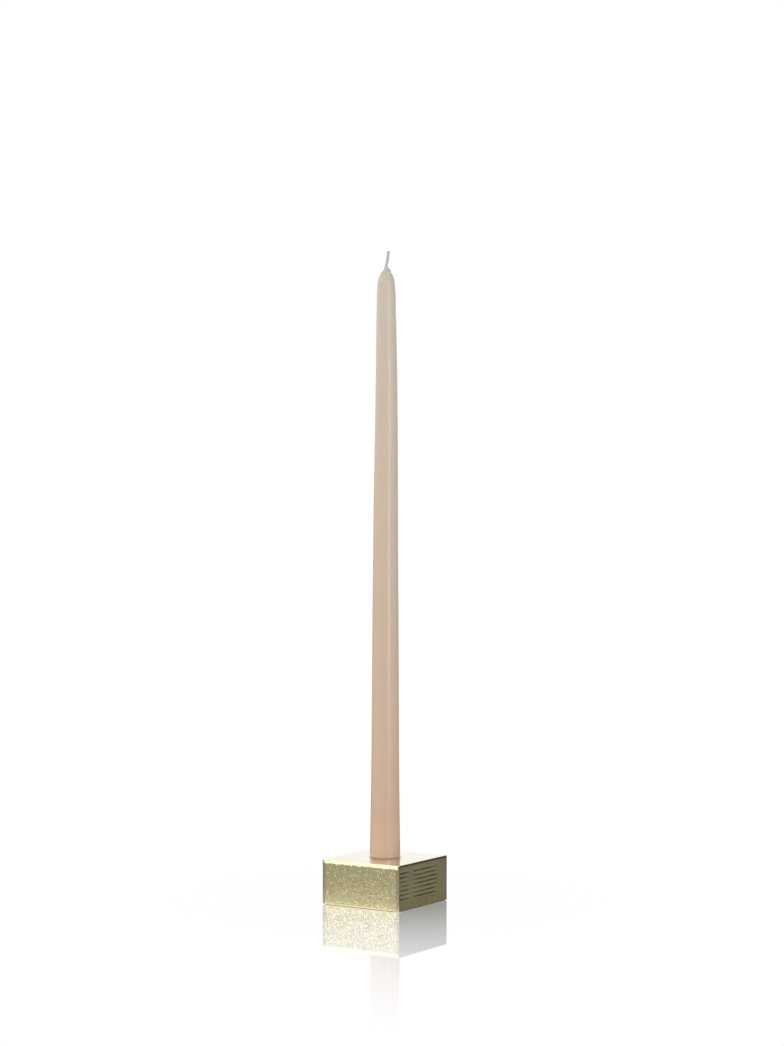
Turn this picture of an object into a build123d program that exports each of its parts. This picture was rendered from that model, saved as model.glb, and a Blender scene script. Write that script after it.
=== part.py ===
from build123d import *
import os

# A block candlestick: a square block of solid brass on a felt pad, holding a tall dipped taper.
# Millimetres. +Z is up. The origin is the centre of the pad's underside, on the table.

# Brass block and felt pad
block_side = 60.0
holder_height = 30.0          # the block and its pad together
pad_thickness = 1.0
pad_stand = 0.2               # how far the pad stands out of its pocket under the block
pocket_inset = 3.0            # from each side face of the block to the pocket's wall
pocket_corner_radius = 3.0
pad_clearance = 0.1           # between the pad's edge and the pocket's wall
edge_break = 0.25             # hand-broken edges, still sharp to look at
socket_radius = 10.5
socket_depth = 22.0
socket_mouth_break = 0.3

# Candle: a dipped taper, standing on the socket's flat floor
foot_radius = 10.2
foot_chamfer = 0.8            # the cut foot's trimmed edge
mouth_radius = 10.15          # where the candle leaves the block
taper_outline = [             # height above the block's top face, and radius there
    (38.0, 9.55),
    (171.0, 8.60),
    (304.0, 7.50),
    (365.0, 6.55),
    (379.0, 6.15),            # the shoulder, where the rounded tip begins
]
nose_bulge = (387.0, 4.95)    # the tip's fullest part, between shoulder and rim
coat_thickness = 1.0
nose_coat_thickness = 0.6     # the overdip runs thin towards the tip
rim_height = 390.0            # where the overdip ends and the white wax shows
rim_radius = 3.35
rim_thickness = 0.25
cap_bulge = (391.8, 2.35)     # the bare cap's rounded side
wax_height = 393.3            # top of the wax, at the wick
wax_top_radius = 1.2

# Wick: braided cotton through the whole candle, with a free stub on top
wick_radius = 0.95
stub_height = 10.9
stub_lean = 1.5               # how far the stub's end stands from the candle's axis
stub_direction = (0.842, 0.539, 0)
stub_knee = (0.7, 4.7)        # lean and height of the slight bend half way up the stub
stub_bend_radius = 9.0
stub_root = 0.9               # height of the first bend's corner above the wax, so that the
                              # bend itself starts clear of it

block_top = holder_height
socket_floor = block_top - socket_depth

os.makedirs("parts", exist_ok=True)


def on_taper(point, inset=0.0):
    """A height and radius on the candle, as a point in the plane that is turned round its axis."""
    height, radius = point
    return (radius - inset, block_top + height)


def draw_core_side():
    """The line where white core and coat meet, from the cut foot up to the coat's rim."""
    core_foot = (foot_radius - coat_thickness, socket_floor)
    core_mouth = (mouth_radius - coat_thickness, block_top)
    seat = Line(core_foot, core_mouth)
    side = Spline(core_mouth, *[on_taper(point, coat_thickness) for point in taper_outline])
    bulge = on_taper(nose_bulge, nose_coat_thickness)
    rim = on_taper((rim_height, rim_radius), rim_thickness)
    nose = Spline(side @ 1, bulge, rim)
    return seat @ 0, nose @ 1


# Brass block: faced all over, a flat-bottomed socket bored in the top, a shallow pocket below
pocket_side = block_side - 2 * pocket_inset
with BuildPart() as brass_block:
    with BuildSketch(Plane.XY.offset(pad_stand)):
        Rectangle(block_side, block_side)
    extrude(amount=holder_height - pad_stand)
    chamfer(brass_block.edges(), length=edge_break)
    with BuildSketch(Plane.XY.offset(pad_stand)):
        RectangleRounded(pocket_side, pocket_side, pocket_corner_radius)
    extrude(amount=pad_thickness - pad_stand, mode=Mode.SUBTRACT)
    with Locations((0, 0, block_top)):
        Hole(radius=socket_radius, depth=socket_depth)
    socket_mouth = brass_block.edges().filter_by(GeomType.CIRCLE).sort_by(Axis.Z)[-1]
    chamfer(socket_mouth, length=socket_mouth_break)
brass_block.part.label = "brass_block"

# Felt pad: let into the pocket and standing a little proud, so that the brass never touches
# the table and only a thin dark line shows under it
with BuildPart() as felt_pad:
    with BuildSketch(Plane.XY):
        pad_side = pocket_side - 2 * pad_clearance
        RectangleRounded(pad_side, pad_side, pocket_corner_radius - pad_clearance)
    extrude(amount=pad_thickness)
felt_pad.part.label = "felt_pad"

# Candle core: white wax round the wick, bare only at the small cap and the cut foot
with BuildPart() as candle_core:
    with BuildSketch(Plane.XZ):
        with BuildLine():
            core_foot, core_rim = draw_core_side()
            cap = Spline(core_rim, on_taper(cap_bulge), on_taper((wax_height, wax_top_radius)))
            wick_top = (wick_radius, block_top + wax_height)
            wick_foot = (wick_radius, socket_floor)
            Polyline(cap @ 1, wick_top, wick_foot, core_foot)
        make_face()
    revolve(axis=Axis.Z)
candle_core.part.label = "candle_core"

# Candle coat: the coloured overdip, open at the cut foot and thin at its upper rim
with BuildPart() as candle_coat:
    with BuildSketch(Plane.XZ):
        with BuildLine():
            core_foot, core_rim = draw_core_side()
            trimmed_foot = (foot_radius - foot_chamfer, socket_floor)
            side_foot = (foot_radius, socket_floor + foot_chamfer)
            coat_mouth = (mouth_radius, block_top)
            Polyline(core_foot, trimmed_foot, side_foot, coat_mouth)
            side = Spline(coat_mouth, *[on_taper(point) for point in taper_outline])
            coat_rim = on_taper((rim_height, rim_radius))
            nose = Spline(side @ 1, on_taper(nose_bulge), coat_rim)
            Line(coat_rim, core_rim)
        make_face()
    revolve(axis=Axis.Z)
candle_coat.part.label = "candle_coat"

# Wick: straight through the candle, then a short stub that leans to one side
with BuildPart() as wick:
    across_stub = (stub_direction[1], -stub_direction[0], 0)
    stub_plane = Plane(origin=(0, 0, 0), x_dir=stub_direction, z_dir=across_stub)
    wax_top = block_top + wax_height
    with BuildLine(stub_plane):
        wick_path = FilletPolyline(
            (0, socket_floor),
            (0, wax_top + stub_root),
            (stub_knee[0], wax_top + stub_knee[1]),
            (stub_lean, wax_top + stub_height),
            radius=stub_bend_radius,
        )
    with BuildSketch(Plane.XY.offset(socket_floor)):
        Circle(wick_radius)
    sweep(path=wick_path)
wick.part.label = "wick"

export_step(brass_block.part, "parts/brass_block.step")
export_step(felt_pad.part, "parts/felt_pad.step")
export_step(candle_core.part, "parts/candle_core.step")
export_step(candle_coat.part, "parts/candle_coat.step")
export_step(wick.part, "parts/wick.step")
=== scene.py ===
"""Looks of a block candlestick and its taper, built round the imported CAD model. Metres, +Z up."""
import math

import bmesh
import bpy
import numpy as np
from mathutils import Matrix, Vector, noise


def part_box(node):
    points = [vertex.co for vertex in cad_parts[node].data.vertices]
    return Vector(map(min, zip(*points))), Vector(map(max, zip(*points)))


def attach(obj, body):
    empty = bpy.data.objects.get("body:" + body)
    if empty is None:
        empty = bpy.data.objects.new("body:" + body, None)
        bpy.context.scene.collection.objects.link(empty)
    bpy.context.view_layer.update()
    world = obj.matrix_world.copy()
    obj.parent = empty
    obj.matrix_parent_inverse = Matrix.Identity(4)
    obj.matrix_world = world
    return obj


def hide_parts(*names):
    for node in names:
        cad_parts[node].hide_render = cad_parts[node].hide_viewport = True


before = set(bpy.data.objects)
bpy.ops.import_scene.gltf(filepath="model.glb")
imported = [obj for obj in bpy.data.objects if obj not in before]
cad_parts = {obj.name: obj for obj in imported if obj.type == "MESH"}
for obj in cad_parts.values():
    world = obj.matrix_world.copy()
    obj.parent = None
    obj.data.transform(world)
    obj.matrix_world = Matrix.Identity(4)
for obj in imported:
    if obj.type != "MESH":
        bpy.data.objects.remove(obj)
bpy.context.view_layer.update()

MM = 0.001

# ---------------------------------------------------------------- sizes taken from the CAD frame
block_low, block_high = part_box("brass_block")
pad_low, pad_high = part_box("felt_pad")
coat_low, coat_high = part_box("candle_coat")
core_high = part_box("candle_core")[1]
half_side = block_high.x
block_foot, block_top = block_low.z, block_high.z
socket_floor = coat_low.z
rim_z, wax_top = coat_high.z, core_high.z

# Sizes that the CAD source also names
edge_break = 0.25 * MM
socket_radius = 10.5 * MM
mouth_break = 0.3 * MM
coat_thickness = 1.0 * MM
nose_coat_thickness = 0.6 * MM
rim_thickness = 0.25 * MM
wick_radius = 0.95 * MM
foot_chamfer = 0.8 * MM
pocket_inset = 3.0 * MM
pocket_corner_radius = 3.0 * MM
pad_corner_radius = 2.9 * MM

# The camera's direction over the table, and the direction to its right
CAMERA_AZIMUTH = math.radians(32.6)
towards_camera = Vector((math.sin(CAMERA_AZIMUTH), -math.cos(CAMERA_AZIMUTH), 0))
camera_right = Vector((math.cos(CAMERA_AZIMUTH), math.sin(CAMERA_AZIMUTH), 0))

# Where the cut +X face mirrors the view to. The grained -Y face mirrors it the opposite way.
FLAG_DIRECTION = (0.539, 0.842, 0)
SOFTBOX_DIRECTION = (-0.539, -0.842, 0)


# ---------------------------------------------------------------- helpers
def smoothstep(low, high, value):
    t = np.clip((np.asarray(value, float) - low) / (high - low), 0, 1)
    return t * t * (3 - 2 * t)


def noise_at(x, y, z, size):
    """Smooth noise from about -1 to 1 with features of that size, for arrays of points."""
    points = np.stack(np.broadcast_arrays(x, y, z), -1).reshape(-1, 3) / size
    values = np.array([noise.noise(Vector(p)) for p in points])
    return values.reshape(np.broadcast(x, y, z).shape)


def new_object(name, vertices, faces, materials, face_materials=None, sharp_angle=35):
    """A mesh object with outward normals, smooth apart from edges sharper than sharp_angle."""
    mesh = bpy.data.meshes.new(name)
    mesh.from_pydata([tuple(v) for v in vertices], [], faces)
    for material in materials:
        mesh.materials.append(material)
    if face_materials is not None:
        mesh.polygons.foreach_set("material_index", face_materials)
    bm = bmesh.new()
    bm.from_mesh(mesh)
    bmesh.ops.remove_doubles(bm, verts=bm.verts, dist=0.001 * MM)
    bmesh.ops.recalc_face_normals(bm, faces=bm.faces)
    bm.to_mesh(mesh)
    bm.free()
    mesh.shade_smooth()
    mesh.set_sharp_from_angle(angle=math.radians(sharp_angle))
    made = bpy.data.objects.new(name, mesh)
    bpy.context.scene.collection.objects.link(made)
    return made


def place(piece, body, slot, *nodes):
    """The piece stands for these CAD nodes and rides on that body. The slot is not used."""
    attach(piece, body)
    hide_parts(*nodes)


def ring_faces(rows, columns, closed_rows=False):
    """Quads between successive closed rings of vertices, numbered ring by ring."""
    faces = []
    for row in range(rows if closed_rows else rows - 1):
        here, above = row * columns, (row + 1) % rows * columns
        for column in range(columns):
            after = (column + 1) % columns
            faces.append((here + column, here + after, above + after, above + column))
    return faces


# ---------------------------------------------------------------- material building
class Look:
    """A node material under construction: a Principled shader and the nodes that feed it."""

    def __init__(self, name):
        self.material = bpy.data.materials.new(name)
        self.material.use_nodes = True
        self.tree = self.material.node_tree
        self.shader = self.tree.nodes["Principled BSDF"]
        self.place = self.node("ShaderNodeTexCoord").outputs["Object"]

    def node(self, kind, settings=None, **inputs):
        made = self.tree.nodes.new(kind)
        for key, value in (settings or {}).items():
            setattr(made, key, value)
        for key, value in inputs.items():
            self.feed(made.inputs[key.replace("_", " ")], value)
        return made

    def feed(self, socket, value):
        if isinstance(value, bpy.types.NodeSocket):
            self.tree.links.new(value, socket)
        else:
            socket.default_value = value

    def set(self, **inputs):
        for key, value in inputs.items():
            self.feed(self.shader.inputs[key.replace("_", " ")], value)

    def stretched(self, scale):
        """The place on the object with each axis multiplied by its share of scale."""
        return self.node("ShaderNodeMapping", Vector=self.place, Scale=scale).outputs[0]

    def grain(self, size, detail=3.0, roughness=0.55, vector=None):
        """Noise from 0 to 1 with features of that size in metres."""
        made = self.node("ShaderNodeTexNoise", Vector=vector or self.place, Scale=1 / size,
                         Detail=detail, Roughness=roughness)
        return made.outputs["Fac"]

    def cells(self, size):
        """A random colour for each cell of that size."""
        return self.node("ShaderNodeTexVoronoi", Vector=self.place, Scale=1 / size).outputs["Color"]

    def span(self, value, from_low, from_high, to_low, to_high, smooth=False):
        kind = "SMOOTHSTEP" if smooth else "LINEAR"
        made = self.node("ShaderNodeMapRange", {"interpolation_type": kind}, Value=value)
        for key, bound in zip(("From Min", "From Max", "To Min", "To Max"),
                              (from_low, from_high, to_low, to_high)):
            self.feed(made.inputs[key], bound)
        return made.outputs[0]

    def combine(self, operation, a, b):
        made = self.node("ShaderNodeMath", {"operation": operation})
        self.feed(made.inputs[0], a)
        self.feed(made.inputs[1], b)
        return made.outputs[0]

    def mix(self, factor, a, b):
        made = self.node("ShaderNodeMix", {"data_type": "RGBA"})
        self.feed(made.inputs["Factor"], factor)
        self.feed(made.inputs[6], a)
        self.feed(made.inputs[7], b)
        return made.outputs[2]

    def bump(self, height, depth):
        return self.node("ShaderNodeBump", Height=height, Distance=depth, Strength=1.0).outputs[0]

    def along(self, axis):
        return self.node("ShaderNodeSeparateXYZ", Vector=self.place).outputs[axis]

    def height(self):
        return self.along("Z")

    def off_centre(self, axis):
        """Distance from the middle plane across that axis."""
        made = self.node("ShaderNodeMath", {"operation": "ABSOLUTE"})
        self.feed(made.inputs[0], self.along(axis))
        return made.outputs[0]


BRASS = (0.887, 0.789, 0.434, 1)
BRASS_DULL = (0.83, 0.74, 0.41, 1)
BRASS_PALE = (0.93, 0.86, 0.58, 1)
BRASS_LACQUERED = (0.89, 0.82, 0.57, 1)
BRASS_GOLDEN = (0.80, 0.66, 0.30, 1)
# Dark brass: tarnish in the grain's pits, and painted shade towards the faces' vertical ends.
BRASS_TARNISH_AND_SHADE = (0.50, 0.45, 0.27, 1)
BRASS_SMEARED = (0.80, 0.76, 0.66, 1)
# Lighter peach for the candle's foot: painted light against the block's shade.
PEACH_FOOT_LIGHTENED = (0.80, 0.53, 0.39, 1)
PEACH_LOW = (0.65, 0.43, 0.30, 1)
PEACH_TOP = (0.62, 0.55, 0.45, 1)
PEACH_BLOTCH = (0.67, 0.47, 0.35, 1)
WHITE_FOOT = (0.54, 0.53, 0.52, 1)
WHITE_TOP = (0.52, 0.50, 0.50, 1)
WHITE_BLOTCH = (0.56, 0.54, 0.53, 1)
# Dark brown of the painted shadow line where the candle enters the socket.
SOCKET_SHADOW = (0.20, 0.14, 0.10, 1)
COTTON_DARK = (0.44, 0.44, 0.43, 1)
COTTON_PALE = (0.68, 0.67, 0.66, 1)
FELT_DARK = (0.010, 0.010, 0.011, 1)
FELT_PALE = (0.035, 0.034, 0.033, 1)


def mottled_brass(look, metal=BRASS):
    """The metal's own colour, with the faint blotches of handled brass."""
    blotch = look.span(look.grain(9 * MM), 0.4, 0.62, 0, 0.8, smooth=True)
    tint = look.mix(blotch, metal, BRASS_DULL)
    speck = look.span(look.grain(1.2 * MM), 0.55, 0.75, 0, 0.5)
    return look.mix(speck, tint, BRASS_PALE)


def polished_brass():
    look = Look("brass_polished")
    wear = look.grain(6 * MM)
    look.set(Base_Color=mottled_brass(look, BRASS_LACQUERED), Metallic=1.0,
             Roughness=look.span(wear, 0.3, 0.7, 0.05, 0.09),
             Normal=look.bump(look.grain(0.7 * MM), 0.0006 * MM))
    look.set(Coat_Weight=1.0, Coat_Roughness=0.03, Coat_IOR=1.5)
    return look.material


def grained_brass():
    """The blasted faces: every grain is a tiny facet of its own, and some of them flash."""
    look = Look("brass_grained")
    ragged = look.combine("ADD", look.height(), look.combine("MULTIPLY", look.grain(1.1 * MM), 1.0 * MM))
    band_foot = block_top - rim_band
    on_grain = look.span(ragged, band_foot + 0.2 * MM, band_foot + 0.7 * MM, 1, 0)
    facets = look.cells(0.5 * MM)
    centred = look.node("ShaderNodeVectorMath", {"operation": "SUBTRACT"})
    look.feed(centred.inputs[0], facets)
    look.feed(centred.inputs[1], (0.5, 0.5, 0.5))
    tilted = look.node("ShaderNodeVectorMath", {"operation": "SCALE"})
    look.feed(tilted.inputs[0], centred.outputs[0])
    look.feed(tilted.inputs["Scale"], look.span(on_grain, 0, 1, 0.05, 0.43))
    summed = look.node("ShaderNodeVectorMath", {"operation": "ADD"})
    look.feed(summed.inputs[0], look.node("ShaderNodeNewGeometry").outputs["Normal"])
    look.feed(summed.inputs[1], tilted.outputs[0])
    faceted = look.node("ShaderNodeVectorMath", {"operation": "NORMALIZE"})
    look.feed(faceted.inputs[0], summed.outputs[0])
    # Painted shade: below the rim band, the grained face turns darker towards its vertical ends.
    corner_shade_band = look.span(look.off_centre("X"), 27.0 * MM, 28.6 * MM, 0, 0.8)
    corner_shade = look.combine("MULTIPLY", corner_shade_band, on_grain)
    pits = look.span(look.grain(0.55 * MM, detail=1), 0.50, 0.62, 0, 0.5)
    clean = look.mix(on_grain, BRASS_LACQUERED, mottled_brass(look))
    metal = look.mix(look.combine("MULTIPLY", pits, on_grain), clean, BRASS_TARNISH_AND_SHADE)
    look.set(Base_Color=look.mix(corner_shade, metal, BRASS_TARNISH_AND_SHADE), Metallic=1.0,
             Normal=faceted.outputs[0],
             Roughness=look.span(look.grain(1.0 * MM), 0.3, 0.7, 0.22, 0.34))
    return look.material


def tooled_brass():
    """The cut faces: fine lines left along the cutter's path, over the modelled tool marks."""
    look = Look("brass_tooled")
    along = look.stretched((1, 0.04, 1))
    lines = look.grain(0.35 * MM, vector=along)
    foot = look.span(look.height(), 4 * MM, 9 * MM, 1, 0, smooth=True)
    blotch = look.span(look.grain(2.6 * MM, detail=4), 0.42, 0.60, 0.2, 1)
    golden = look.mix(look.combine("MULTIPLY", foot, blotch), mottled_brass(look), BRASS_GOLDEN)
    # Painted shade: the tooled face turns darker towards its vertical ends.
    corner_shade = look.span(look.off_centre("Y"), 27.6 * MM, 29.0 * MM, 0, 0.7)
    smear = look.span(look.grain(5 * MM, vector=look.stretched((1, 0.5, 1))), 0.5, 0.65, 0, 0.22)
    worn = look.mix(smear, golden, BRASS_SMEARED)
    look.set(Base_Color=look.mix(corner_shade, worn, BRASS_TARNISH_AND_SHADE), Metallic=1.0,
             Roughness=look.span(look.grain(4 * MM), 0.3, 0.7, 0.17, 0.25),
             Normal=look.bump(lines, 0.006 * MM))
    return look.material


def bored_brass():
    """The socket's wall and floor, left with the fine rings of the boring tool."""
    look = Look("brass_bored")
    rings = look.grain(0.3 * MM, vector=look.stretched((0.05, 0.05, 1)))
    look.set(Base_Color=look.mix(look.span(rings, 0.4, 0.6, 0, 0.6), BRASS_GOLDEN, BRASS_DULL),
             Metallic=1.0, Normal=look.bump(rings, 0.012 * MM),
             Roughness=look.span(look.grain(3 * MM), 0.3, 0.7, 0.32, 0.44))
    return look.material


def wax(name, lightened_foot_colour, low_colour, top_colour, blotch_colour):
    """Wax whose colour shifts slowly up the candle, a soft shine, painted light at the foot and painted
    shade at the socket.
    """
    look = Look(name)
    height = look.height()
    rise = look.span(height, block_top, rim_z, 0, 1)
    body = look.mix(rise, low_colour, top_colour)
    # Painted light: the wax turns lighter towards its foot, against the shade the block casts there.
    near_foot = look.span(height, block_top, block_top + 32 * MM, 1, 0, smooth=True)
    body = look.mix(near_foot, body, lightened_foot_colour)
    cloud = look.span(look.grain(14 * MM), 0.42, 0.62, 0, 0.30, smooth=True)
    body = look.mix(cloud, body, blotch_colour)
    # Painted shadow: a dark line on the wax just above and below the socket's mouth.
    shadow_top = look.span(height, block_top + 0.2 * MM, block_top + 1.3 * MM, 1, 0)
    shadow_foot = look.span(height, block_top - 1.2 * MM, block_top - 0.3 * MM, 0, 0.42)
    socket_shadow = look.combine("MULTIPLY", shadow_top, shadow_foot)
    look.set(Base_Color=look.mix(socket_shadow, body, SOCKET_SHADOW),
             Roughness=look.span(look.grain(3 * MM), 0.3, 0.7, 0.30, 0.40),
             Normal=look.bump(look.grain(1.6 * MM), 0.004 * MM))
    look.set(Subsurface_Weight=0.35, Subsurface_Radius=(1.0, 0.55, 0.35),
             Subsurface_Scale=3.0 * MM, IOR=1.44, Specular_IOR_Level=0.3,
             Coat_Weight=0.6, Coat_Roughness=0.22, Coat_IOR=1.45)
    return look.material


def cotton():
    look = Look("cotton")
    fibre = look.grain(0.10 * MM)
    look.set(Base_Color=look.mix(fibre, COTTON_DARK, COTTON_PALE),
             Normal=look.bump(fibre, 0.02 * MM),
             Roughness=look.span(look.grain(0.5 * MM), 0.3, 0.7, 0.6, 0.85))
    look.set(Subsurface_Weight=0.15, Subsurface_Scale=0.4 * MM)
    return look.material


def felt():
    look = Look("felt")
    fibre = look.grain(0.25 * MM, detail=5, roughness=0.7)
    look.set(Base_Color=look.mix(fibre, FELT_DARK, FELT_PALE),
             Normal=look.bump(fibre, 0.08 * MM),
             Roughness=look.span(fibre, 0.3, 0.7, 0.85, 1.0))
    look.set(Sheen_Weight=0.3, Sheen_Roughness=0.5)
    return look.material


# ---------------------------------------------------------------- brass block
level_step = 0.25 * MM           # between rows of vertices up the side faces
grained_step = 0.3 * MM          # along the grained faces
tooled_step = 0.75 * MM          # along the tooled faces
rim_band = 2.6 * MM              # polished band under the top edge of the grained faces
rim_setback = 0.72 * MM          # how far that band leans in at the top
end_band = 2.4 * MM              # the grained faces lean away a little near their corners
end_setback = 0.16 * MM
foot_band = 1.2 * MM             # softened lower edge of the grained faces
foot_setback = 0.34 * MM
tool_pitch = 2.8 * MM
tool_depth = 0.12 * MM
tooled_edge_band = 1.4 * MM
tooled_edge_setback = 0.36 * MM


def edge_fade(along, height, width):
    """0 at the border of a side face and 1 from width inwards, so that the edges stay straight."""
    side = half_side - edge_break
    from_ends = smoothstep(0, width, side - np.abs(along))
    from_foot = smoothstep(0, width, height - block_foot - edge_break)
    from_top = smoothstep(0, width, block_top - edge_break - height)
    return from_ends * from_foot * from_top


def grained_relief(along, height, seed):
    """Depth of a blasted face below its flat plane: grain, slow waves and the leaning rim."""
    coarse = noise_at(along, height, seed, 1.0 * MM)
    fine = noise_at(along, height, seed + 0.1, 0.6 * MM)
    grain = coarse + 0.6 * fine
    waves = noise_at(along, height, seed + 0.2, 5 * MM)
    border = block_top - rim_band + 0.45 * MM * noise_at(along, 0, seed, 2.2 * MM)
    lean = np.clip((height - border) / rim_band, 0, None)
    from_ends = half_side - edge_break - np.abs(along)
    ends = smoothstep(0, 1.2 * MM, from_ends)
    on_grain = 1 - smoothstep(-0.3 * MM, 0.3 * MM, height - border)
    texture = 0.006 * MM * (grain + 1.6) * (0.1 + 0.9 * on_grain) + 0.02 * MM * (waves + 1)
    corner_lean = np.clip(1 - from_ends / end_band, 0, 1) ** 2 * (1 - np.clip(lean, 0, 1))
    foot_lean = np.clip(1 - (height - block_foot) / foot_band, 0, 1) ** 2
    return (edge_fade(along, height, 1.0 * MM) * texture + rim_setback * lean * ends
            + end_setback * corner_lean + foot_setback * foot_lean * ends)


def tooled_relief(along, height, seed):
    """Depth of a cut face: level tool marks that come in patches, and a softened top edge."""
    wander = 0.5 * noise_at(along, height, seed, 11 * MM)
    phase = 2 * math.pi * (height - block_foot) / tool_pitch + wander
    long_patch = smoothstep(-14 * MM, -10 * MM, along) * (1 - smoothstep(14 * MM, 19 * MM, along))
    short_patch = 0.95 * (1 - smoothstep(-20 * MM, -16 * MM, along))
    rows = smoothstep(5 * MM, 8 * MM, height - block_foot)
    rows = rows * smoothstep(2.5 * MM, 4 * MM, block_top - height)
    uneven = 0.75 + 0.7 * noise_at(along, height, seed + 0.3, 6 * MM)
    patches = np.maximum(long_patch, short_patch) * rows
    marks = tool_depth * 0.5 * (1 + np.cos(phase)) * patches * uneven
    waves = 0.012 * MM * (noise_at(along, height, seed + 0.4, 7 * MM) + 1)
    near_foot = 1 - smoothstep(5 * MM, 10 * MM, height - block_foot)
    waves += 0.022 * MM * near_foot * (noise_at(along, height, seed + 0.6, 2.4 * MM) + 1)
    lean = np.clip((height - block_top + tooled_edge_band) / tooled_edge_band, 0, None) ** 2
    ends = smoothstep(0, 2 * MM, half_side - edge_break - np.abs(along))
    return edge_fade(along, height, 0.8 * MM) * (marks + waves) + tooled_edge_setback * lean * ends


def rounded_square(square, side, corner_radius):
    """The points of a square outline, drawn in to a rounded square of that half side."""
    points = square * side / np.abs(square).max()
    centres = np.sign(points) * (side - corner_radius)
    spokes = points - centres
    at_corner = (np.abs(points) > side - corner_radius).all(axis=1)
    lengths = np.linalg.norm(spokes, axis=1)[:, None]
    return np.where(at_corner[:, None], centres + spokes * corner_radius / lengths, points)


def steps(low, high, step):
    return np.linspace(low, high, max(2, round((high - low) / step) + 1))


def make_block():
    """The block as one closed skin: four side faces, broken edges, top, socket and underside."""
    materials = [polished_brass(), grained_brass(), tooled_brass(), bored_brass()]
    polished, grained, tooled, bored = range(4)
    inner = half_side - edge_break
    levels = steps(block_foot + edge_break, block_top - edge_break, level_step)
    sides = [  # outward normal, direction along the face, finish, relief, step, seed
        ((0, -1), (1, 0), grained, grained_relief, grained_step, 3.0),
        ((1, 0), (0, 1), tooled, tooled_relief, tooled_step, 7.0),
        ((0, 1), (-1, 0), grained, grained_relief, grained_step, 11.0),
        ((-1, 0), (0, -1), tooled, tooled_relief, tooled_step, 17.0),
    ]
    belts, foot_edges, top_edges, finishes = [], [], [], []
    for normal, run, finish, relief, step, seed in sides:
        along = steps(-inner, inner, step)
        depth = relief(along[None, :], levels[:, None], seed)
        stations = along[:, None] * np.array(run)
        belts.append(stations + (half_side - depth[..., None]) * np.array(normal))
        foot_edges.append(stations + (inner - depth[0][:, None]) * np.array(normal))
        top_edges.append(stations + (inner - depth[-1][:, None]) * np.array(normal))
        finishes += [finish] * len(along)
    belt = np.concatenate(belts, 1)
    foot_edge = np.concatenate(foot_edges)
    top_edge = np.concatenate(top_edges)
    count = len(top_edge)
    circle = top_edge / np.linalg.norm(top_edge, axis=1)[:, None]

    def flat_ring(points, z):
        return np.column_stack([points, np.full(count, z)])

    rings = [flat_ring(foot_edge, block_foot)]
    rings += [flat_ring(row, z) for row, z in zip(belt, levels)]
    rings += [flat_ring(top_edge, block_top)]
    mouth_radius = socket_radius + mouth_break
    top_shares = (0.03, 0.12, 0.3, 0.55, 0.8, 1.0)
    rings += [flat_ring(top_edge * (1 - share) + circle * mouth_radius * share, block_top)
              for share in top_shares]
    wall_heights = [block_top - mouth_break] + list(np.linspace(block_top - 3 * MM, socket_floor, 8))
    rings += [flat_ring(circle * socket_radius, z) for z in wall_heights]
    floor_shares = (0.6, 0.2)
    rings += [flat_ring(circle * socket_radius * share, socket_floor) for share in floor_shares]
    pocket = rounded_square(foot_edge, half_side - pocket_inset, pocket_corner_radius)
    under = [flat_ring(pocket * share, pad_high.z) for share in (0.2, 0.6, 1.0)]
    under += [flat_ring(pocket, block_foot)]
    rings = under + rings

    vertices = np.concatenate(rings)
    faces = ring_faces(len(rings), count)
    belt_rows = range(len(under) + 1, len(under) + len(levels))
    first_bored_row = len(rings) - len(wall_heights) - len(floor_shares)
    face_finishes = []
    for row in range(len(rings) - 1):
        for column in range(count):
            same_side = finishes[column] == finishes[(column + 1) % count]
            on_side = row in belt_rows and same_side
            outside = finishes[column] if on_side else polished
            face_finishes.append(bored if row >= first_bored_row else outside)
    for centre_row, z in ((0, pad_high.z), (len(rings) - 1, socket_floor)):
        vertices = np.vstack([vertices, [0, 0, z]])
        centre = len(vertices) - 1
        start = centre_row * count
        faces += [(start + c, start + (c + 1) % count, centre) for c in range(count)]
        face_finishes += [bored if z == socket_floor else polished] * count
    block = new_object("block_metal", vertices, faces, materials, face_finishes)
    place(block, "holder", "brass", "brass_block")


# ---------------------------------------------------------------- felt pad
def make_pad():
    """A die-cut square of felt with rounded corners and a slightly fibrous rim."""
    side = pad_high.x
    along = np.linspace(-1, 1, 120, endpoint=False)
    edge = np.ones_like(along)
    square = np.concatenate([np.column_stack(pair) for pair in
                             ((along, -edge), (edge, along), (-along, edge), (-edge, -along))])
    outline = rounded_square(square, side, pad_corner_radius)
    count = len(outline)
    outward = outline / np.linalg.norm(outline, axis=1)[:, None]
    thickness = pad_high.z - pad_low.z
    rings = []
    shape = ((0.3, 0), (0.7, 0), (0.97, 0), (1.0, 0.15), (1.0, 0.5),
             (1.0, 0.85), (0.97, 1), (0.7, 1), (0.3, 1))
    for share, level in shape:
        ring = outline * share
        if share == 1.0:
            fibres = 0.10 * MM * (1 + noise_at(ring[:, 0], ring[:, 1], level, 0.5 * MM))
            ring = ring - outward * fibres[:, None]
        rings.append(np.column_stack([ring, np.full(count, pad_low.z + thickness * level)]))
    vertices = np.concatenate(rings)
    faces = ring_faces(len(rings), count)
    for row, z in ((0, pad_low.z), (len(rings) - 1, pad_high.z)):
        vertices = np.vstack([vertices, [0, 0, z]])
        start, centre = row * count, len(vertices) - 1
        faces += [(start + c, start + (c + 1) % count, centre) for c in range(count)]
    pad = new_object("felt_underlay", vertices, faces, [felt()])
    place(pad, "holder", "felt", "felt_pad")


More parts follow.
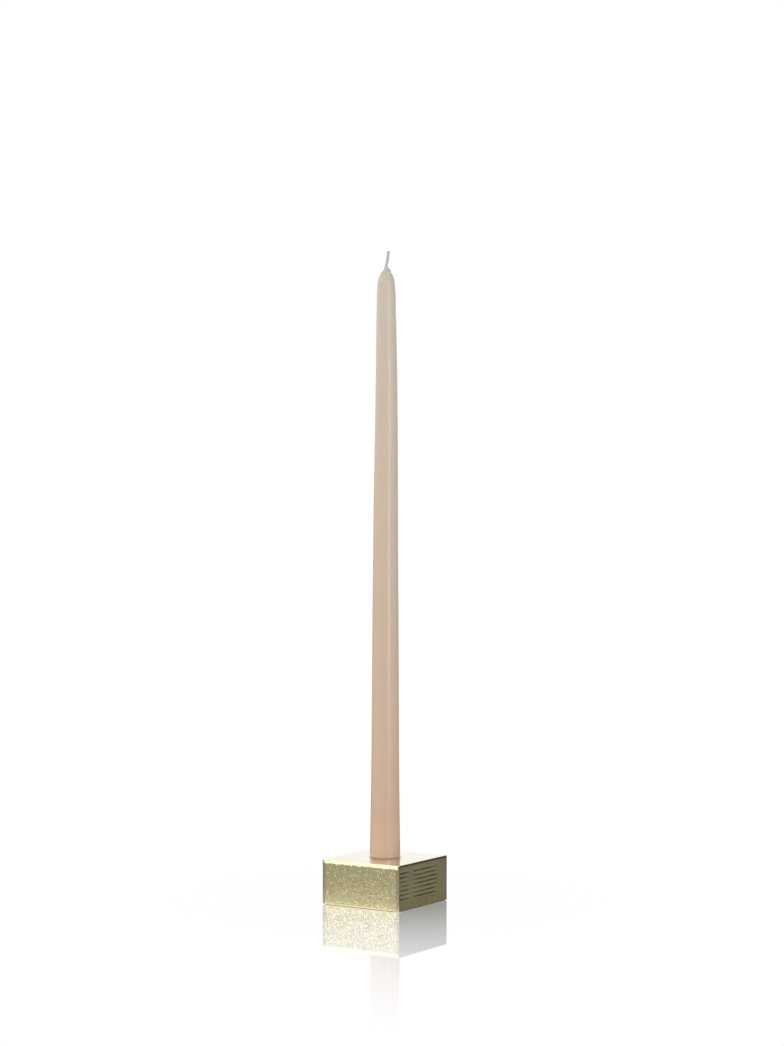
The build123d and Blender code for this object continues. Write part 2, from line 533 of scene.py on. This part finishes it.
# ---------------------------------------------------------------- candle
foot_radius = coat_high.x
lean_direction = np.array([0.842, 0.539, 0.0])   # the way the candle bows and its wick leans
taper_heights = np.array([0, 38, 171, 304, 365, 379, 387]) * MM
taper_radii = np.array([10.15, 9.55, 8.60, 7.50, 6.55, 6.15, 4.95]) * MM
rim_radius = 3.35 * MM
bow_depth = 0.40 * MM
bow_height = 310 * MM            # above the block, where the candle stands furthest to one side
bow_reach = 58 * MM
round_segments = 128


def curve_through(xs, ys, at):
    """Smooth cubic curve through the points, with the slope at each taken from its neighbours."""
    slopes = np.gradient(ys, xs)
    index = np.clip(np.searchsorted(xs, at) - 1, 0, len(xs) - 2)
    width = xs[index + 1] - xs[index]
    t = (at - xs[index]) / width
    return ((1 + 2 * t) * (1 - t) ** 2 * ys[index] + t * (1 - t) ** 2 * width * slopes[index]
            + t * t * (3 - 2 * t) * ys[index + 1] + t * t * (t - 1) * width * slopes[index + 1])


def candle_radius(z):
    """The finished candle's radius at a height in the row frame, up to the coat's rim."""
    heights = np.append(taper_heights, rim_z - block_top)
    radii = np.append(taper_radii, rim_radius)
    height = np.asarray(z, float) - block_top
    above = curve_through(heights, radii, np.clip(height, 0, heights[-1]))
    sunk = np.clip(-height, 0, None) / (block_top - socket_floor)
    seated = taper_radii[0] + (foot_radius - taper_radii[0]) * sunk
    return np.where(height >= 0, above, seated)


def coat_depth(z):
    """The overdip's thickness, which runs out towards the rim."""
    heights = np.array([socket_floor, block_top + taper_heights[5], block_top + taper_heights[6], rim_z])
    depths = np.array([coat_thickness, coat_thickness, nose_coat_thickness, rim_thickness])
    return np.interp(z, heights, depths)


def dipped(angle, z):
    """Slow unevenness of a hand-dipped surface, none of it in the socket."""
    free = smoothstep(block_top + 1 * MM, block_top + 12 * MM, z)
    x, y = np.cos(angle), np.sin(angle)
    long_waves = noise_at(x * 0.9, y * 0.9, z / (70 * MM), 1.0)
    short_waves = noise_at(x * 1.6, y * 1.6, z / (16 * MM) + 5, 1.0)
    return free * (0.07 * MM * long_waves + 0.025 * MM * short_waves)


def bow(z):
    """The slight sideways bend of a candle that cooled hanging."""
    return bow_depth * np.exp(-((z - block_top - bow_height) / bow_reach) ** 2)


def turned(name, profile, wobble, materials):
    """A ring-shaped solid: a closed outline of (radius, height) turned round the candle's axis."""
    profile = np.array(profile)
    angle = np.linspace(0, 2 * math.pi, round_segments, endpoint=False)
    radius, height = profile[:, 0][:, None], profile[:, 1][:, None]
    radius = radius + wobble(angle[None, :], height, radius)
    x = radius * np.cos(angle) + bow(height) * lean_direction[0]
    y = radius * np.sin(angle) + bow(height) * lean_direction[1]
    z = np.broadcast_to(height, x.shape)
    vertices = np.stack([x, y, z], -1).reshape(-1, 3)
    faces = ring_faces(len(profile), round_segments, closed_rows=True)
    return new_object(name, vertices, faces, materials, sharp_angle=50)


def heights_up(low, high):
    """Rows up the candle: even along the taper and closer in the rounded tip."""
    shoulder = block_top + 372 * MM
    if high <= shoulder:
        return np.linspace(low, high, 120)
    return np.concatenate([np.linspace(low, shoulder, 200), np.linspace(shoulder, high, 60)[1:]])


def make_coat():
    heights = heights_up(socket_floor + foot_chamfer, rim_z)
    outer = list(zip(candle_radius(heights), heights))
    inner = list(zip(candle_radius(heights) - coat_depth(heights), heights))[::-1]
    foot = [(foot_radius - coat_thickness, socket_floor), (foot_radius - foot_chamfer, socket_floor)]

    def wobble(angle, z, radius):
        skin = radius > candle_radius(z) - 0.1 * MM
        return np.where(skin, dipped(angle, z), 0)

    coat = turned("wax_coat", outer + inner + foot, wobble,
                  [wax("wax_peach", PEACH_FOOT_LIGHTENED, PEACH_LOW, PEACH_TOP, PEACH_BLOTCH)])
    place(coat, "candle", "peach_wax", "candle_coat")
    return coat


def make_core():
    heights = heights_up(socket_floor, rim_z)
    side = list(zip(candle_radius(heights) - coat_depth(heights), heights))
    cap_heights = np.array([rim_z, rim_z + 1.8 * MM, wax_top])
    cap_radii = np.array([rim_radius - rim_thickness, 2.35 * MM, 1.2 * MM])
    cap_rows = np.linspace(rim_z, wax_top, 14)[1:]
    cap = list(zip(curve_through(cap_heights, cap_radii, cap_rows), cap_rows))
    channel = [(wick_radius, wax_top), (wick_radius, socket_floor)]

    def wobble(angle, z, radius):
        bare = (z > rim_z) & (z < wax_top)
        lumps = 0.12 * MM * noise_at(np.cos(angle), np.sin(angle), z / (2 * MM), 1.0)
        rise = np.clip((z - rim_z) / (wax_top - rim_z), 0, 1)
        sideways = np.cos(angle - math.atan2(lean_direction[1], lean_direction[0]))
        return np.where(bare, lumps + 0.5 * MM * sideways * np.sin(math.pi * rise), 0)

    core = turned("wax_core", side + cap + channel, wobble,
                  [wax("wax_white", WHITE_FOOT, WHITE_FOOT, WHITE_TOP, WHITE_BLOTCH)])
    place(core, "candle", "white_wax", "candle_core")


# ---------------------------------------------------------------- wick
stub_height = 10.9 * MM
stub_lean_heights = np.array([-30, 0.9, 4.7, 10.9]) * MM
stub_lean_offsets = np.array([0, 0.05, 0.8, 1.5]) * MM
braid_radius = 0.66 * MM
braid_swing = 0.12 * MM
yarn_radius = 0.33 * MM
braid_turn = 4.4 * MM
carriers = 4                     # each way round


def wick_centre(z):
    """The middle of the wick at those heights: near the candle's axis in the wax, leaning above it."""
    above_wax = np.clip(z - wax_top, stub_lean_heights[0], stub_lean_heights[-1])
    offset = curve_through(stub_lean_heights, stub_lean_offsets, above_wax)
    return (offset + bow(z))[:, None] * lean_direction + np.column_stack([0 * z, 0 * z, z])


def tube(path, radii, segments=8):
    """Vertices and faces of a round tube with domed ends along a path of close points."""
    tangent = np.gradient(path, axis=0)
    tangent /= np.linalg.norm(tangent, axis=1)[:, None]
    side = np.cross(tangent, [0.31, 0.57, 0.0])
    side /= np.linalg.norm(side, axis=1)[:, None]
    across = np.cross(tangent, side)
    angle = np.linspace(0, 2 * math.pi, segments, endpoint=False)
    cosine, sine = np.cos(angle)[None, :, None], np.sin(angle)[None, :, None]
    spokes = cosine * side[:, None] + sine * across[:, None]
    rings = path[:, None] + radii[:, None, None] * spokes
    vertices = rings.reshape(-1, 3)
    faces = ring_faces(len(path), segments)
    ends = []
    for row, out in ((0, -1), (len(path) - 1, 1)):
        vertices = np.vstack([vertices, path[row] + out * radii[row] * 0.5 * tangent[row]])
        ends += [(row * segments + c, row * segments + (c + 1) % segments, len(vertices) - 1)
                 for c in range(segments)]
    return vertices, faces + ends


def make_wick():
    """Eight yarns braided round a heart, which alone runs down through the wax."""
    vertices, faces = [], []

    def add(part):
        start = sum(len(v) for v in vertices)
        vertices.append(part[0])
        faces.extend(tuple(i + start for i in face) for face in part[1])

    top = wax_top + stub_height
    z = np.linspace(wax_top - 2.5 * MM, top - 0.25 * MM, 150)
    turn = 2 * math.pi * (z - z[0]) / braid_turn
    splay = 0.22 * MM * smoothstep(top - 1.6 * MM, top, z)
    for way in (1, -1):
        for carrier in range(carriers):
            angle = way * turn + carrier * 2 * math.pi / carriers
            reach = braid_radius + way * braid_swing * np.cos(4 * turn) + splay
            round_axis = np.column_stack([np.cos(angle), np.sin(angle), 0 * z]) * reach[:, None]
            thickness = yarn_radius * (1 - 0.25 * smoothstep(top - 0.8 * MM, top, z))
            add(tube(wick_centre(z) + round_axis, thickness))
    buried = np.linspace(socket_floor + 0.1 * MM, wax_top - 4 * MM, 60)
    heart = np.concatenate([buried, np.linspace(wax_top - 3 * MM, top - 0.5 * MM, 30)])
    thick = np.where(heart < wax_top - 3.5 * MM, wick_radius * 0.96, 0.74 * MM)
    add(tube(wick_centre(heart), thick, segments=20))
    wick = new_object("wick_braid", np.concatenate(vertices), faces, [cotton()], sharp_angle=60)
    place(wick, "candle", "cotton", "wick")


# ---------------------------------------------------------------- stage, light and camera
camera_distance = 1.550
camera_sideways = 0.00422
camera_height = 0.2528
camera_roll = math.radians(-0.10)


def make_camera():
    data = bpy.data.cameras.new("camera")
    data.lens = 80.0
    data.clip_end = 30.0
    camera = bpy.data.objects.new("camera", data)
    bpy.context.scene.collection.objects.link(camera)
    position = towards_camera * camera_distance + camera_right * camera_sideways
    camera.location = (position.x, position.y, camera_height)
    camera.rotation_euler = (math.radians(90), camera_roll, CAMERA_AZIMUTH)
    bpy.context.scene.camera = camera


def level_square(name, reach, z, look):
    """A square sheet round the origin with that finish."""
    mesh = bpy.data.meshes.new(name)
    corners = [(-reach, -reach), (reach, -reach), (reach, reach), (-reach, reach)]
    mesh.from_pydata([(x, y, z) for x, y in corners], [], [(0, 1, 2, 3)])
    mesh.materials.append(look.material)
    made = bpy.data.objects.new(name, mesh)
    bpy.context.scene.collection.objects.link(made)
    return made


def blend_shaders(look, share, first, second):
    """The surface is the first shader where share is 0 and the second where it is 1."""
    blended = look.node("ShaderNodeMixShader", Fac=share)
    look.tree.links.new(first, blended.inputs[1])
    look.tree.links.new(second, blended.inputs[2])
    surface = look.tree.nodes["Material Output"].inputs["Surface"]
    look.tree.links.new(blended.outputs[0], surface)


def make_floor():
    """A white table top, polished near the object and matt further out, with a painted contact shadow.
    """
    look = Look("floor_white")
    length = look.node("ShaderNodeVectorMath", {"operation": "LENGTH"}, Vector=look.place)
    distance = length.outputs["Value"]
    fade = look.combine("POWER", look.span(distance, 0.03, 0.44, 1, 0), 1.4)
    fresnel = look.node("ShaderNodeFresnel", IOR=1.5).outputs[0]
    # Painted shadow: the table's glow and mirror fade to dark in a band about 2 mm wide round the
    # block's foot, thinning out at its corners.
    outward = look.combine("MAXIMUM", look.off_centre("X"), look.off_centre("Y"))
    inward = look.combine("MINIMUM", look.off_centre("X"), look.off_centre("Y"))
    past_corner = look.span(inward, half_side - 4 * MM, half_side, 0, 2.0 * MM)
    clear = look.span(look.combine("ADD", outward, past_corner),
                      half_side - 0.1 * MM, half_side + 1.9 * MM, 0.05, 1)
    lit = look.combine("MULTIPLY", clear, 1.02)
    shine = look.combine("MULTIPLY", look.combine("MULTIPLY", fresnel, 1.75), fade)
    share = look.combine("MULTIPLY", look.combine("MINIMUM", shine, 0.75), clear)
    white = look.node("ShaderNodeEmission", Color=(1, 1, 1, 1), Strength=lit).outputs[0]
    mirror = look.node("ShaderNodeBsdfGlossy", Color=(1, 1, 1, 1), Roughness=0.0).outputs[0]
    blend_shaders(look, share, white, mirror)
    floor = level_square("floor", 8.0, -0.02 * MM, look)
    floor.visible_glossy = False


def make_table_glow():
    """The bright table close to the block, as the block's faces mirror it towards the softbox."""
    look = Look("table_glow")
    outward = look.combine("MAXIMUM", look.off_centre("X"), look.off_centre("Y"))
    near = look.span(outward, half_side + 6 * MM, half_side + 48 * MM, 1, 0, smooth=True)
    forward = look.node("ShaderNodeVectorMath", {"operation": "DOT_PRODUCT"})
    look.feed(forward.inputs[0], look.place)
    look.feed(forward.inputs[1], SOFTBOX_DIRECTION)
    ahead = look.span(forward.outputs["Value"], 4 * MM, 16 * MM, 0, 1, smooth=True)
    near = look.combine("MULTIPLY", near, ahead)
    strength = look.span(outward, half_side + 2 * MM, half_side + 10 * MM, 1.1, 0.8)
    lit = look.node("ShaderNodeEmission", Color=(1, 1, 1, 1), Strength=strength).outputs[0]
    clear = look.node("ShaderNodeBsdfTransparent").outputs[0]
    blend_shaders(look, near, clear, lit)
    glow = level_square("table_glow", 0.12, -0.04 * MM, look)
    glow.visible_camera = False
    glow.visible_diffuse = False
    glow.visible_shadow = False


def make_world():
    """A white studio: bright over the horizon, with a dark flag behind the object's right.

    Sharp reflections, which only the table top makes, see the studio plain.
    """
    world = bpy.data.worlds.new("studio")
    bpy.context.scene.world = world
    world.use_nodes = True
    tree = world.node_tree
    tree.nodes.clear()

    def node(kind, settings=None, *inputs):
        made = tree.nodes.new(kind)
        for key, value in (settings or {}).items():
            setattr(made, key, value)
        for socket, value in zip(made.inputs, inputs):
            if isinstance(value, bpy.types.NodeSocket):
                tree.links.new(value, socket)
            elif value is not None:
                socket.default_value = value
        return made

    direction = node("ShaderNodeTexCoord").outputs["Generated"]
    up = node("ShaderNodeSeparateXYZ", None, direction).outputs["Z"]

    def facing(axis):
        made = node("ShaderNodeVectorMath", {"operation": "DOT_PRODUCT"}, direction, axis)
        return made.outputs["Value"]

    def ramp(value, low, high, to_low, to_high):
        made = node("ShaderNodeMapRange", {"interpolation_type": "SMOOTHSTEP"})
        tree.links.new(value, made.inputs["Value"])
        bounds = {"From Min": low, "From Max": high, "To Min": to_low, "To Max": to_high}
        for key, bound in bounds.items():
            made.inputs[key].default_value = bound
        return made.outputs[0]

    def blend(factor, a, b):
        return node("ShaderNodeMix", {"data_type": "FLOAT"}, factor, None, a, b).outputs["Result"]

    # How far a direction points towards the flag (1) or the softbox (-1), whatever its height
    up_squared = node("ShaderNodeMath", {"operation": "MULTIPLY"}, up, up).outputs[0]
    rest = node("ShaderNodeMath", {"operation": "SUBTRACT"}, 1.0, up_squared).outputs[0]
    level = node("ShaderNodeMath", {"operation": "SQRT"}, rest).outputs[0]
    behind = facing(FLAG_DIRECTION)
    flag_side = node("ShaderNodeMath", {"operation": "DIVIDE"}, behind, level).outputs[0]
    in_line = node("ShaderNodeMath", {"operation": "MULTIPLY"}, flag_side, flag_side).outputs[0]

    # Below the horizon: dim, least so towards flag and softbox. Steeply down it is as bright as
    # the table, and dark straight below.
    facing_level = ramp(flag_side, -1.0, 1.0, 0.36, 0.215)
    below = blend(ramp(in_line, 0.0, 0.8, 0, 1), 0.10, facing_level)
    downward = blend(ramp(up, -0.97, -0.88, 1, 0), 1.1, 0.12)
    deep = blend(ramp(up, -0.75, -0.42, 1, 0), below, downward)

    # Above the horizon: white walls with the softbox and the flag opposite it, under a white ceiling
    softbox = ramp(flag_side, -0.90, -0.70, 1, 0)
    softbox_low = ramp(up, 0.22, 0.31, 0.42, 2.1)
    softbox_light = blend(ramp(up, 0.40, 0.60, 0, 1), softbox_low, 1.0)
    bright = blend(softbox, 0.98, softbox_light)
    flag = ramp(flag_side, 0.91, 0.965, 0, 1)
    above = blend(flag, bright, 0.04)
    low_sky = blend(ramp(up, 0.75, 0.92, 0, 1), above, 1.0)

    # The two halves meet a little lower on the flag's side
    not_flag = blend(ramp(up, -0.03, 0.08, 0, 1), deep, low_sky)
    flag_low = blend(ramp(up, -0.135, -0.085, 0, 1), deep, low_sky)
    light = blend(flag, not_flag, flag_low)

    rays = node("ShaderNodeLightPath")
    mirrored = blend(rays.outputs["Is Singular Ray"], light, 0.98)
    strength = blend(rays.outputs["Is Camera Ray"], mirrored, 1.05)
    background = node("ShaderNodeBackground", None, (1, 1, 1, 1), strength)
    output = node("ShaderNodeOutputWorld")
    tree.links.new(background.outputs[0], output.inputs["Surface"])


def make_shine(name, place_at, aim_at, width, height, power, colour, receivers):
    """A window-like panel that shows only as a highlight on the receivers."""
    data = bpy.data.lights.new(name, "AREA")
    data.shape = "RECTANGLE"
    data.size, data.size_y = width, height
    data.energy = power
    data.color = colour
    light = bpy.data.objects.new(name, data)
    bpy.context.scene.collection.objects.link(light)
    light.location = place_at
    aim = Vector(aim_at) - Vector(place_at)
    light.rotation_euler = aim.to_track_quat("-Z", "Y").to_euler()
    light.visible_camera = False
    light.visible_diffuse = False
    lit = bpy.data.collections.new(name + "_receivers")
    for receiver in receivers:
        lit.objects.link(receiver)
    light.light_linking.receiver_collection = lit


make_camera()
make_world()
make_floor()
make_table_glow()
make_block()
make_pad()
coat = make_coat()
make_core()
make_wick()
make_shine("strip", place_at=towards_camera * 0.9 + camera_right * 0.56 + Vector((0, 0, 0.15)),
           aim_at=(0, 0, 0.18), width=0.13, height=1.1, power=6.0, colour=(0.45, 0.66, 1.0),
           receivers=[coat])

view = bpy.context.scene.view_settings
view.view_transform = "Standard"
view.look = "None"
